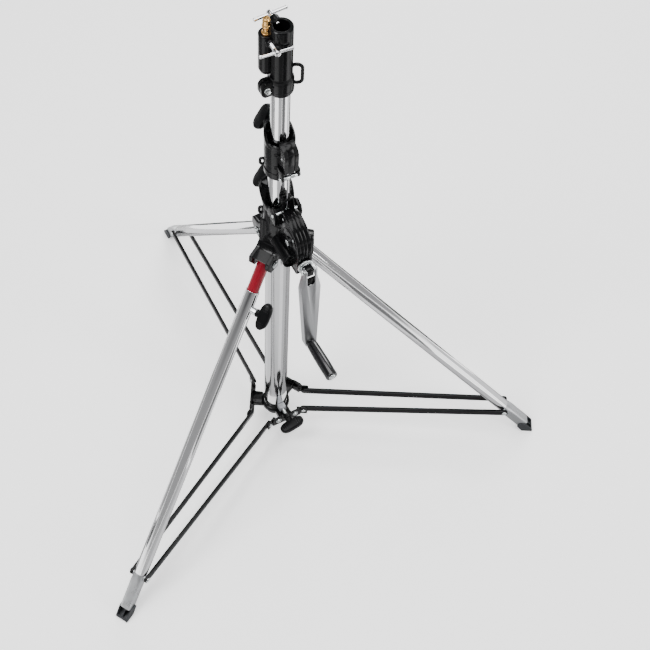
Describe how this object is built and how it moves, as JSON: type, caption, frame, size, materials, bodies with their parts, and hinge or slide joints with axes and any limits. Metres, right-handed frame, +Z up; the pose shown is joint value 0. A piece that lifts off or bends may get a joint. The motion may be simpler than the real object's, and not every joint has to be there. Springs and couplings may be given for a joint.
{
  "type": "crank lighting stand",
  "caption": "Wind-up lighting stand: braced tripod on a chromed column, cranked worm winch, telescopic risers, and a head with a lamp socket and a brass stud.",
  "frame": {"origin": "centre of the stand's footprint at floor level, halfway between the outermost points of its feet in X and in Y; the column's axis stands 144.4 mm from it towards -X", "axes": "+Z up; +X along leg B, the leg on its own side of the winch; the crank points to X cos(60), -Y sin(60) from the column"},
  "size_m": [0.9152, 1.0566, 1.278],
  "materials": {
    "chromed_steel": "polished chrome plate on steel tube",
    "zinc_plated_steel": "bright zinc plate",
    "plain_steel": "turned steel",
    "black_casting": "black powder coat on cast aluminium",
    "black_bar": "black paint on steel",
    "black_plastic": "fine-grained moulded plastic",
    "grip_plastic": "smooth moulded plastic",
    "grey_rubber": "moulded shoe",
    "red_tube": "red paint on steel tube",
    "brass": "turned brass",
    "nylon": "moulded nylon",
    "grey_pad": "moulded clamp pad"
  },
  "bodies": {
    "base": {"base_column": "chromed_steel", "column_cap": "black_plastic", "column_bush": "nylon", "winch_casting": "black_casting", "gear_case_left": "black_casting", "gear_case_right": "black_casting", "drum_axle": "plain_steel", "lift_cable": "plain_steel", "leg_a_bolt": "zinc_plated_steel", "leg_b_bolt": "zinc_plated_steel", "leg_c_bolt": "zinc_plated_steel"},
    "drum": {"cable_drum": "plain_steel", "worm_wheel": "brass"},
    "crank": {"crank_shaft": "plain_steel", "worm": "brass", "crank_hub": "zinc_plated_steel", "crank_arm_pin": "plain_steel"},
    "crank_arm": {"crank_arm": "zinc_plated_steel", "grip_axle": "plain_steel"},
    "crank_grip": {"crank_grip": "grip_plastic"},
    "base_pulley": {"base_pulley": "zinc_plated_steel"},
    "riser_1": {"riser_1_tube": "chromed_steel", "riser_1_foot": "nylon", "riser_1_collar": "black_casting", "guide_pin": "zinc_plated_steel"},
    "mid_pulley": {"mid_pulley": "plain_steel"},
    "riser_1_knob": {"riser_1_knob": "black_plastic"},
    "riser_2_knob": {"riser_2_knob": "black_plastic"},
    "riser_2": {"riser_2_tube": "chromed_steel", "riser_2_foot": "nylon", "head_casting": "black_casting", "stud_holder": "black_casting", "head_loop": "black_casting", "head_clamp_bolt": "zinc_plated_steel", "brass_stud": "brass"},
    "stud_screw": {"stud_screw": "chromed_steel", "stud_screw_bar": "chromed_steel"},
    "socket_screw": {"socket_screw": "chromed_steel", "socket_screw_bar": "chromed_steel"},
    "brace_hub": {"brace_hub": "black_casting", "hub_pad": "grey_pad"},
    "hub_knob": {"hub_knob": "black_plastic"},
    "brace_a": {"brace_a_left": "black_bar", "brace_a_right": "black_bar"},
    "brace_b": {"brace_b_left": "black_bar", "brace_b_right": "black_bar"},
    "brace_c": {"brace_c_left": "black_bar", "brace_c_right": "black_bar"},
    "leg_a": {"leg_a_inner": "red_tube"},
    "leg_a_slide": {"leg_a_tube": "chromed_steel", "leg_a_end": "zinc_plated_steel", "leg_a_shoe": "grey_rubber", "level_boss": "zinc_plated_steel"},
    "level_knob": {"level_knob": "black_plastic"},
    "leg_b": {"leg_b_tube": "chromed_steel", "leg_b_end": "zinc_plated_steel", "leg_b_shoe": "grey_rubber"},
    "leg_c": {"leg_c_tube": "chromed_steel", "leg_c_end": "zinc_plated_steel", "leg_c_shoe": "grey_rubber"}
  },
  "joints": [
    {"name": "hub_slide", "type": "slide", "parent": "base", "child": "brace_hub", "axis": [0, 0, 1], "range_m": [0, 0.3005]},
    {"name": "leg_a_fold", "type": "hinge", "parent": "base", "child": "leg_a", "pos_m": [-0.16744, -0.03984, 0.6646], "axis": [0.866, -0.5, 0], "range_deg": [0, 39.21]},
    {"name": "brace_a_fold", "type": "hinge", "parent": "brace_hub", "child": "brace_a", "pos_m": [-0.17694, -0.05629, 0.07], "axis": [0.866, -0.5, 0], "range_deg": [0, 94.4]},
    {"name": "leg_b_fold", "type": "hinge", "parent": "base", "child": "leg_b", "pos_m": [-0.09844, 0, 0.6646], "axis": [0, 1, 0], "range_deg": [0, 39.21]},
    {"name": "brace_b_fold", "type": "hinge", "parent": "brace_hub", "child": "brace_b", "pos_m": [-0.07944, 0, 0.07], "axis": [0, 1, 0], "range_deg": [0, 94.4]},
    {"name": "leg_c_fold", "type": "hinge", "parent": "base", "child": "leg_c", "pos_m": [-0.16744, 0.03984, 0.6646], "axis": [-0.866, -0.5, 0], "range_deg": [0, 39.21]},
    {"name": "brace_c_fold", "type": "hinge", "parent": "brace_hub", "child": "brace_c", "pos_m": [-0.17694, 0.05629, 0.07], "axis": [-0.866, -0.5, 0], "range_deg": [0, 94.4]},
    {"name": "riser_1_slide", "type": "slide", "parent": "base", "child": "riser_1", "axis": [0, 0, 1], "range_m": [0, 0.6], "deforming": ["lift_cable"]},
    {"name": "riser_2_slide", "type": "slide", "parent": "riser_1", "child": "riser_2", "axis": [0, 0, 1], "range_m": [0, 0.6005]},
    {"name": "drum_spin", "type": "hinge", "parent": "base", "child": "drum", "pos_m": [-0.10744, -0.06409, 0.768], "axis": [0.866, 0.5, 0], "range_deg": [0, 1850]},
    {"name": "crank_spin", "type": "hinge", "parent": "base", "child": "crank", "pos_m": [-0.14444, 0, 0.729], "axis": [0.5, -0.866, 0], "range_deg": [0, 22181]},
    {"name": "crank_arm_fold", "type": "hinge", "parent": "crank", "child": "crank_arm", "pos_m": [-0.08169, -0.10869, 0.733], "axis": [-0.866, -0.5, 0], "range_deg": [0, 90]},
    {"name": "crank_grip_spin", "type": "hinge", "parent": "crank_arm", "child": "crank_grip", "pos_m": [-0.07588, -0.11875, 0.5113], "axis": [0.5, -0.866, 0], "continuous": true},
    {"name": "base_pulley_spin", "type": "hinge", "parent": "base", "child": "base_pulley", "pos_m": [-0.12819, -0.02815, 0.806], "axis": [0.866, 0.5, 0], "range_deg": [0, 4246]},
    {"name": "mid_pulley_spin", "type": "hinge", "parent": "riser_1", "child": "mid_pulley", "pos_m": [-0.12669, -0.03074, 0.966], "axis": [0.866, 0.5, 0], "range_deg": [0, 3405]},
    {"name": "riser_1_knob_turn", "type": "hinge", "parent": "base", "child": "riser_1_knob", "pos_m": [-0.14444, 0, 0.802], "axis": [-0.5, 0.866, 0], "range_deg": [0, 450]},
    {"name": "riser_2_knob_turn", "type": "hinge", "parent": "riser_1", "child": "riser_2_knob", "pos_m": [-0.14444, 0, 0.974], "axis": [-0.5, 0.866, 0], "range_deg": [0, 450]},
    {"name": "stud_screw_turn", "type": "hinge", "parent": "riser_2", "child": "stud_screw", "pos_m": [-0.16924, 0, 1.234], "axis": [0.5, -0.866, 0], "range_deg": [0, 720]},
    {"name": "socket_screw_turn", "type": "hinge", "parent": "riser_2", "child": "socket_screw", "pos_m": [-0.14444, 0, 1.254], "axis": [-0.5, 0.866, 0], "range_deg": [0, 720]},
    {"name": "hub_knob_turn", "type": "hinge", "parent": "brace_hub", "child": "hub_knob", "pos_m": [-0.14444, 0, 0.077], "axis": [0.5, -0.866, 0], "range_deg": [0, 450]},
    {"name": "leg_a_slide", "type": "slide", "parent": "leg_a", "child": "leg_a_slide", "axis": [-0.316, -0.5473, -0.775], "range_m": [-0.04, 0.12]},
    {"name": "level_knob_turn", "type": "hinge", "parent": "leg_a_slide", "child": "level_knob", "pos_m": [-0.20093, -0.09785, 0.58245], "axis": [0.866, -0.5, 0], "range_deg": [0, 450]}
  ],
  "couplings": [
    {"joint": "leg_a_fold", "follows": "hub_slide", "rad_per_m": 2.2767},
    {"joint": "brace_a_fold", "follows": "hub_slide", "rad_per_m": 5.482},
    {"joint": "leg_b_fold", "follows": "hub_slide", "rad_per_m": 2.2767},
    {"joint": "brace_b_fold", "follows": "hub_slide", "rad_per_m": 5.482},
    {"joint": "leg_c_fold", "follows": "hub_slide", "rad_per_m": 2.2767},
    {"joint": "brace_c_fold", "follows": "hub_slide", "rad_per_m": 5.482},
    {"joint": "riser_2_slide", "follows": "riser_1_slide", "ratio": 1},
    {"joint": "drum_spin", "follows": "riser_1_slide", "rad_per_m": 53.763},
    {"joint": "crank_spin", "follows": "riser_1_slide", "rad_per_m": 645.16},
    {"joint": "base_pulley_spin", "follows": "riser_1_slide", "rad_per_m": 123.46},
    {"joint": "mid_pulley_spin", "follows": "riser_1_slide", "rad_per_m": 99.01}
  ]
}
